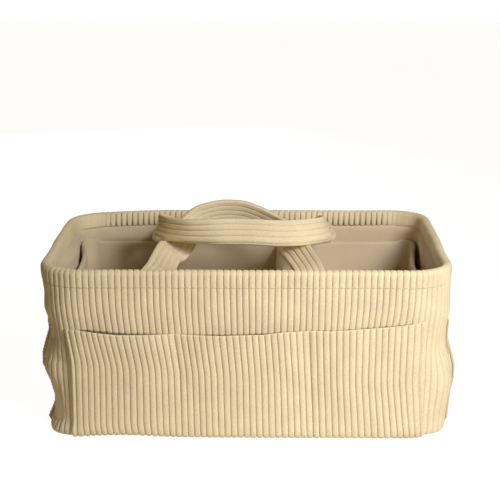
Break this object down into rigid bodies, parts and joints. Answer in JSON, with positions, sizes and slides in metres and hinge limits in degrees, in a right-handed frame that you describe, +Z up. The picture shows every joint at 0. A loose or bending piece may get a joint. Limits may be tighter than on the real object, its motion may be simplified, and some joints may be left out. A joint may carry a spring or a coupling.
{
  "type": "diaper caddy",
  "caption": "Soft-sided corduroy caddy with a padded rim, outside pockets, strap handles and a loose insert whose dividers slide to set the compartments",
  "frame": {"origin": "on the floor under the middle of the caddy", "axes": "+X to the right along the length, -Y to the front, +Z up"},
  "size_m": [0.418, 0.2688, 0.2058],
  "materials": {
    "corduroy": "wide-wale cotton corduroy, cream",
    "cotton": "plain woven cotton, beige",
    "foam": "sheet foam, matte",
    "board": "stiffener sheet, matte",
    "felt": "stiff felt sheet, matte",
    "loop_tape": "brushed loop tape",
    "hook_tape": "moulded hook tape"
  },
  "bodies": {
    "tote": {"back_foam": "foam", "back_left_strap_tail": "corduroy", "back_lining": "cotton", "back_outer_panel": "corduroy", "back_pocket_face": "corduroy", "back_pocket_lining": "cotton", "back_right_strap_tail": "corduroy", "base_board": "board", "base_lining": "cotton", "base_outer_panel": "corduroy", "front_foam": "foam", "front_left_strap_tail": "corduroy", "front_lining": "cotton", "front_outer_panel": "corduroy", "front_pocket_face": "corduroy", "front_pocket_lining": "cotton", "front_right_strap_tail": "corduroy", "left_foam": "foam", "left_lining": "cotton", "left_outer_panel": "corduroy", "left_pocket_face": "corduroy", "left_pocket_lining": "cotton", "right_foam": "foam", "right_lining": "cotton", "right_outer_panel": "corduroy", "right_pocket_face": "corduroy", "right_pocket_lining": "cotton", "rim_hem": "corduroy"},
    "front_handle": {"front_handle": "corduroy"},
    "back_handle": {"back_handle": "corduroy"},
    "insert": {"back_loop_strip": "loop_tape", "front_loop_strip": "loop_tape", "insert_back_board": "felt", "insert_back_cover": "cotton", "insert_back_left_corner": "cotton", "insert_back_right_corner": "cotton", "insert_front_board": "felt", "insert_front_cover": "cotton", "insert_front_left_corner": "cotton", "insert_front_right_corner": "cotton", "insert_left_board": "felt", "insert_left_cover": "cotton", "insert_right_board": "felt", "insert_right_cover": "cotton"},
    "left_divider": {"left_divider_back_hook_tab": "hook_tape", "left_divider_board": "felt", "left_divider_cover": "cotton", "left_divider_front_hook_tab": "hook_tape"},
    "right_divider": {"right_divider_back_hook_tab": "hook_tape", "right_divider_board": "felt", "right_divider_cover": "cotton", "right_divider_front_hook_tab": "hook_tape"}
  },
  "joints": [
    {"name": "back_handle_swing", "type": "hinge", "parent": "tote", "child": "back_handle", "pos_m": [-0.001, 0.1131, 0.176], "axis": [-1, 0, 0], "range_deg": [0, 172]},
    {"name": "front_handle_swing", "type": "hinge", "parent": "tote", "child": "front_handle", "pos_m": [-0.013, -0.1131, 0.176], "axis": [1, 0, 0], "range_deg": [0, 66]},
    {"name": "insert_lift", "type": "slide", "parent": "tote", "child": "insert", "axis": [0, 0, 1], "range_m": [0, 0.012]},
    {"name": "left_divider_slide", "type": "slide", "parent": "insert", "child": "left_divider", "axis": [1, 0, 0], "range_m": [-0.06, 0.035]},
    {"name": "right_divider_slide", "type": "slide", "parent": "insert", "child": "right_divider", "axis": [1, 0, 0], "range_m": [-0.04, 0.1]}
  ],
  "couplings": [
    {"joint": "front_handle_swing", "follows": "back_handle_swing", "ratio": 0.38}
  ]
}
